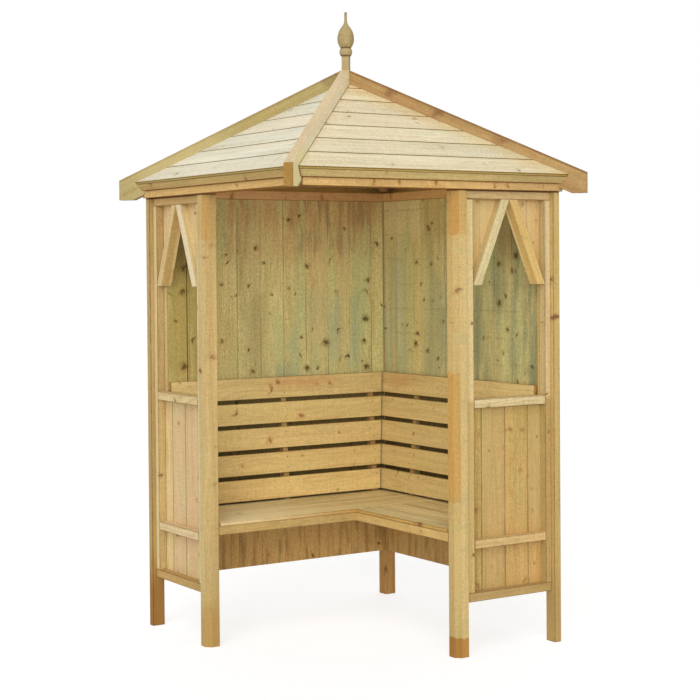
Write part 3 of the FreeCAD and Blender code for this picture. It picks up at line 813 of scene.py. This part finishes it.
def walls():
    for side, run, inward, through, along in (("left", -NORTH, EAST, EAST, NORTH),
                                              ("right", EAST, -NORTH, NORTH, EAST)):
        # Painted shade on the inner faces behind the backrest darkens the wall seen through the gaps between
        # the slats.
        timber(side + "_wall_boards", wall_boards, UP, run, board_cover, wall_first_seam[side] - wall_face,
               marks=wall_marks(side, inward, through, along),
               shades=[level_band(seat_underside, 0.99, inward, (116, 98, 66), 0.88)])
        timber(side + "_wall_rails", hidden_wood, run, UP, 0.5, 0.1)
        timber(side + "_wall_stiles", hidden_wood, UP, run, 1.0, 0.0)


def seats():
    """The backrests, the seat boards and what carries them."""
    half_gap = 0.008
    reddish = {"left": ((-0.54, 0.10, 0.995), (0.1, 0.26, 0.05), 0.5),
               "right": ((-0.40, 0.54, 0.995), (0.22, 0.1, 0.05), 0.4)}
    square_to_right_slats = UP * sin(recline) - NORTH * cos(recline)
    right_slats_front = square_to_right_slats.dot(NORTH * back_foot + UP * back_top) + slat_thickness
    # Painted shade where the left slats meet the right ones in the corner.
    corner = {"left": [seam(square_to_right_slats, right_slats_front, 0.012, (66, 48, 26), 0.9)], "right": []}
    # A paler patch on the left seat.
    paler_left_seat = {"left": [colour_patch((-0.3, -0.45, 0.49), (0.5, 0.6, 0.2), (240, 228, 188), 0.45, 0.9)], "right": []}
    for side, run, outward, apron in (("left", NORTH, -EAST, apron_wood), ("right", EAST, NORTH, pale_apron)):
        down = -outward * sin(recline) - UP * cos(recline)
        top = outward * back_foot + UP * back_top
        centre, reach, strength = reddish[side]
        # The slats' undersides and top edges are painted darker, as shade.
        timber(side + "_back_slats", slats, run, down, slat_pitch, top.dot(down) - half_gap,
               marks=[colour_patch(centre, reach, (196, 140, 88), strength, 0.9, 1.6, (40, 40, 40)),
                      knotted(on_face(run, slat_knots[side]), run + UP, (140, 80, 48), (196, 146, 92), 0.75),
                      tinted_side(-UP, (150, 128, 100)), tinted_side(UP, (208, 194, 176))],
               shades=corner[side])
        timber(side + "_back_battens", hidden_wood, UP, run, 0.3, 0.0)
        # The seat boards' front edges are painted darker, as shade.
        timber(side + "_seat_boards", seat_wood, run, outward, board_cover, seat_first_seam,
               marks=[tinted_side(-outward, (224, 197, 152))] + paler_left_seat[side])
        timber(side + "_seat_apron", apron, run, UP, shades=[shaded_edges(side + "_seat_apron", 0.4)])
        timber(side + "_wall_bearer", hidden_wood, run, UP)
        timber(side + "_end_bearer", hidden_wood, outward, UP)
    timber("seat_cross_joist", apron_wood, EAST, UP)
    timber("seat_corner_joist", apron_wood, NORTH, UP)


roof_sides = (("left", -NORTH), ("right", EAST), ("back_right", NORTH), ("back_left", -EAST))
first_course = eave_level * sin(roof_pitch) - eave * cos(roof_pitch)


def slope_ways(out):
    """Level along the roof slope of one side, straight up it, and square to it."""
    up_slope = UP * sin(roof_pitch) - out * cos(roof_pitch)
    square = out * sin(roof_pitch) + UP * cos(roof_pitch)
    return UP.cross(out), up_slope, square


def roof():
    # Painted shade where the left and right fascias and ring beams meet the front hip rafter.
    shade_beside_hips = [seam(NORTH_EAST, level, 0.007, (124, 104, 62), 0.8)
                 for level in (rafter_thickness / 2, -rafter_thickness / 2)]
    for side, out in roof_sides:
        level, up_slope, square = slope_ways(out)
        beside_rafter = shade_beside_hips if side in ("left", "right") else []
        board_marks = [tinted_side(-up_slope, (204, 184, 126))]
        fascia_marks = []
        # Painted shade on the ring beams' inner faces and undersides, with a faint tint on the outer faces.
        beam_marks = [tinted_side(-out, (234, 217, 230) if side == "back_left" else (247, 231, 230)),
                      tinted_side(out, (255, 253, 250) if side == "left" else (255, 252, 252)),
                      tinted_side(-UP, (178, 148, 102))]
        if side == "right":
            board_marks += [tinted_side(square, (254, 252, 247)),
                            seam(SOUTH_EAST, 0.0, 0.15, (250, 236, 196), 0.5)]
            fascia_marks += [colour_patch((0.65, 0.62, 1.86), (0.2, 0.42, 0.2), (228, 228, 224), 1.0, 0.7,
                                     blend="MULTIPLY")]
            beam_marks += [colour_patch((0.61, 0.50, 1.81), (0.2, 0.3, 0.2), (238, 236, 238), 1.0, 0.8,
                                   blend="MULTIPLY"),
                           knotted(beam_knots, (0, 1, 0.4), (150, 94, 52), (206, 150, 92), 0.7)]
        timber(side + "_roof_boards", greyed_roof if side == "left" else roof_wood, level, up_slope,
               board_cover, first_course, marks=board_marks, shades=[shaded_hips()])
        timber(side + "_fascia", green_fascia if side == "right" else brown_fascia, level, up_slope,
               marks=fascia_marks, shades=beside_rafter)
        # Painted shadow on the ring beam's outer face, under the fascia.
        shadow_under_fascia = seam(UP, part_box(side + "_fascia")[0].z, 0.006, (170, 140, 102), 0.9)
        timber(side + "_ring_beam", beam_wood, level, UP, marks=beam_marks,
               shades=[only_on(out, [shadow_under_fascia])] + beside_rafter)
    for name, kind, x, y, edges in (("front", front_rafter, 1, -1, 0.0), ("right", brown_rafter, 1, 1, 0.5),
                                    ("back", pale_rafter, -1, 1, 0.5), ("left", olive_rafter, -1, -1, 0.25)):
        out = Vector((x, y, 0)).normalized()
        down_hip = out * cos(rafter_pitch) - UP * sin(rafter_pitch)
        ridge = out * sin(rafter_pitch) + UP * cos(rafter_pitch)
        across = UP.cross(out)
        # Painted shade on the rafters' undersides.
        marks = [tinted_side(-UP, (190, 158, 122))]
        if name == "right":
            for reach, level in ((0.186, 2.206), (0.377, 2.116), (0.625, 2.000)):
                spot = out * reach
                marks.append(colour_patch((spot.x, spot.y, level), (0.044, 0.044, 0.03), (112, 62, 36),
                                     0.7, 0.8, 1.2, (30, 30, 30)))
        if name == "front":
            # The side of the front rafter's tail is painted paler, painted light on a face in shade; its top
            # face is tinted darker.
            tail = colour_patch((0.62, -0.62, 1.84), (0.14, 0.14, 0.14), (255, 240, 178), 1.0, 0.5)
            marks += [tinted_side(ridge, (214, 202, 190)), only_on(across, [tail])]
        if name == "left":
            marks += [colour_patch((-0.045, -0.045, 2.26), (0.05, 0.05, 0.035), (136, 110, 74), 0.55, 0.5, 0.6),
                      colour_patch((-0.50, -0.50, 1.97), (0.3, 0.3, 0.3), (200, 182, 130), 0.5)]
        timber(name + "_rafter", kind, down_hip, across, marks=marks,
               shades=[shaded_top(across, ridge, edges)])
    hip = NORTH_EAST * cos(rafter_pitch) - UP * sin(rafter_pitch)
    timber("roof_cleats", hidden_wood, hip, UP.cross(NORTH_EAST), 0.06, 0.0, (1, 1, 0))
    # Painted shade in the two narrow hollows turned in the finial.
    grooves = [seam(UP, level, 0.005, (160, 132, 96), 0.8) for level in (2.3594, 2.3914)]
    timber("finial", turned_wood, UP, EAST, shades=grooves, marks=[
        colour_patch((0, 0, 2.34), (0.06, 0.06, 0.062), (178, 157, 114), 0.8, 0.2, 0.1),
        colour_patch((0, 0, 2.538), (0.02, 0.02, 0.016), (140, 120, 98), 0.6, 0.5, 0.1)])


panels()
walls()
seats()
roof()


def new_object(name, data):
    """An object in the scene, with this mesh, light or camera."""
    piece = bpy.data.objects.new(name, data)
    bpy.context.scene.collection.objects.link(piece)
    return piece


def nail_heads(name, spots, normals, radius, height):
    """Round nail heads. Each is a low dome: a ring of points at the wood, one half way up and a
    crown point, with a flat underside, turned so that its axis is the normal at its spot."""
    spots = np.array(spots, float)
    normals = np.array(normals, float)
    around = np.linspace(0, 2 * np.pi, 8, endpoint=False)
    helper = np.where(np.abs(normals[:, 2:3]) < 0.9, [[0.0, 0.0, 1.0]], [[1.0, 0.0, 0.0]])
    side = np.cross(helper, normals)
    side /= np.linalg.norm(side, axis=1, keepdims=True)
    other = np.cross(normals, side)
    circle = side[:, None] * np.cos(around)[None, :, None] + other[:, None] * np.sin(around)[None, :, None]
    levels = ((radius, -height / 2), (radius * 0.75, height * 0.7))
    rings = [spots[:, None] + circle * r + normals[:, None] * h for r, h in levels]
    crown = (spots + normals * height)[:, None]
    base = (spots - normals * height / 2)[:, None]
    points = np.concatenate(rings + [crown, base], axis=1)
    n = len(around)
    k = np.arange(n)
    after = (k + 1) % n
    rim = np.stack([k, after, after + n, k + n], axis=1)
    top = np.stack([k + n, after + n, np.full(n, 2 * n)], axis=1)
    under = np.stack([after, k, np.full(n, 2 * n + 1)], axis=1)
    faces = []
    for start in range(0, len(spots) * points.shape[1], points.shape[1]):
        faces += (rim + start).tolist() + (top + start).tolist() + (under + start).tolist()
    mesh = bpy.data.meshes.new(name)
    mesh.from_pydata(points.reshape(-1, 3).tolist(), [], faces)
    mesh.update()
    mesh.materials.append(nail_steel)
    piece = new_object(name, mesh)
    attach(piece, "root")


def make_nail_steel():
    """Dull steel, browned in spots."""
    material, r = new_material("nail_steel")
    rust = r.add("TexCoord")["Object"].noise((260, 260, 260)).rise(0.4, 0.65)
    r.fill(r.tree.nodes["Principled BSDF"].inputs, {
        "Base Color": r.mix(rust, paint(118, 112, 104), paint(96, 66, 46)),
        "Roughness": rust.line(0.35, 0.45),
        "Metallic": rust.line(-0.8, 0.85)})
    return material


nail_steel = make_nail_steel()


def to_right(point):
    """The same point on the right-hand half."""
    return (-point[1], -point[0], point[2])


def slat_nails():
    """Two nails through each slat into each batten."""
    lean = (cos(recline), 0.0, sin(recline))
    for side, battens in (("left", (0.472, 0.012, -0.448)), ("right", (0.292, -0.104, -0.5))):
        spots = []
        for row in range(slat_count):
            for share in (0.25, 0.75):
                down = row * slat_pitch + slat_width * share
                x = -back_foot + down * sin(recline) + slat_thickness * lean[0]
                z = back_top - down * cos(recline) + slat_thickness * lean[2]
                spots += [(x, y, z) for y in battens]
        normals = [lean] * len(spots)
        if side == "right":
            spots = [to_right(spot) for spot in spots]
            normals = [to_right(normal) for normal in normals]
        nail_heads(side + "_slat_nails", spots, normals, 0.003, 0.0008)


def roof_nails():
    """Two nails through each end of each roof board, beside the hip rafters."""
    from_rafter = 0.016
    for side, out in roof_sides:
        level, up_slope, square = slope_ways(out)
        top = max(square.dot(corner.co) for corner in nodes[side + "_roof_boards"].data.vertices)
        spots = []
        for half_board in range(16):
            height = first_course + (half_board // 2 + (0.28, 0.72)[half_board % 2]) * board_cover
            centre = up_slope * height + square * top
            reach = centre.dot(out) - 0.7071 * rafter_thickness - from_rafter
            if reach > 0.01:
                spots += [centre + level * reach, centre - level * reach]
        nail_heads(side + "_roof_nails", spots, [square] * len(spots), 0.0022, 0.0006)


slat_nails()
roof_nails()


# Floor, light and camera
def seen_directly(r):
    """1 for rays of the camera and for what gloss or glass shows of the surroundings."""
    rays = r.add("LightPath")
    through = rays["Is Glossy Ray"].most(rays["Is Transmission Ray"])
    return rays["Is Camera Ray"].most(through)


def floor():
    """A level square. To the camera it shows white paper with the object's soft shadow."""
    reach = 60.0
    corners = [(x * reach, y * reach, 0) for x, y in ((-1, -1), (1, -1), (1, 1), (-1, 1))]
    mesh = bpy.data.meshes.new("floor")
    mesh.from_pydata(corners, [], [(0, 1, 2, 3)])
    piece = new_object("floor", mesh)
    material, r = new_material("floor_paper")
    r.tree.nodes.clear()
    paper = r.add("BsdfDiffuse", {"Color": (0.8, 0.8, 0.8, 1.0)})[0]
    faint = r.add("BsdfDiffuse", {"Color": (0.42, 0.42, 0.42, 1.0)})[0]
    glow = r.add("Emission", {"Color": (1.0, 1.0, 1.0, 1.0), "Strength": 0.72})[0]
    white = r.add("AddShader", (faint, glow))[0]
    shown = r.add("MixShader", (seen_directly(r), paper, white))[0]
    r.add("OutputMaterial", {"Surface": shown})
    mesh.materials.append(material)


def surroundings():
    world = bpy.data.worlds.new("studio")
    bpy.context.scene.world = world
    world.use_nodes = True
    r = Recipe(world.node_tree)
    r.tree.nodes.clear()
    light = r.add("Background", {"Color": (0.98, 0.99, 1.0, 1.0), "Strength": 0.40})[0]
    white = r.add("Background", {"Color": (1.0, 1.0, 1.0, 1.0), "Strength": 1.0})[0]
    shown = r.add("MixShader", (seen_directly(r), light, white))[0]
    r.add("OutputWorld", {"Surface": shown})


lamp_colour = (1.0, 0.99, 0.97)


def lamp(name, azimuth, height, level, spread):
    """A broad soft light. Azimuth is where it stands, as for the camera, and height its angle above
    level ground. A level of 1 shows a surface that faces it in its own colour."""
    light = bpy.data.lights.new(name, "SUN")
    light.energy = level * pi
    light.angle = radians(spread)
    light.color = lamp_colour
    turn, rise = radians(azimuth), radians(height)
    towards = Vector((sin(turn) * cos(rise), -cos(turn) * cos(rise), sin(rise)))
    new_object(name, light).rotation_euler = towards.to_track_quat("Z", "Y").to_euler()


def soft_box():
    """A tall soft light in the way in, turned to the back corner, which fills the shade of the roof."""
    light = bpy.data.lights.new("soft_box", "AREA")
    light.shape = "RECTANGLE"
    light.size = 0.6
    light.size_y = 1.3
    light.energy = 2.4
    light.color = lamp_colour
    holder = new_object("soft_box", light)
    holder.location = (0.34, -0.34, 1.15)
    holder.rotation_euler = Vector((1, -1, 0)).to_track_quat("Z", "Y").to_euler()
    holder.visible_camera = False


def camera():
    """The photograph's viewing angle: from the right of the way in, slightly above eye level."""
    azimuth = radians(57.0083)
    pitch = radians(1.2187)
    roll = radians(0.4257)
    view = bpy.data.cameras.new("camera")
    view.sensor_width = 36.0
    view.lens = 83.377
    view.shift_y = -0.0716
    view.clip_end = 200.0
    holder = new_object("camera", view)
    ahead = Vector((-sin(azimuth), cos(azimuth), 0.0))
    forward = ahead * cos(pitch) - UP * sin(pitch)
    level = Vector((cos(azimuth), sin(azimuth), 0.0))
    upright = level.cross(forward)
    right = level * cos(roll) - upright * sin(roll)
    top = level * sin(roll) + upright * cos(roll)
    turn = Matrix((right, top, -forward)).transposed().to_4x4()
    holder.matrix_world = Matrix.Translation((5.5607, -3.5987, 1.5069)) @ turn
    bpy.context.scene.camera = holder


floor()
surroundings()
lamp("key_light", 45, 45, 0.32, 40)
lamp("back_light", 232, 28, 0.27, 60)
lamp("fill_light", 53, 5, 0.60, 40)
soft_box()
camera()
bpy.context.scene.view_settings.view_transform = "Standard"
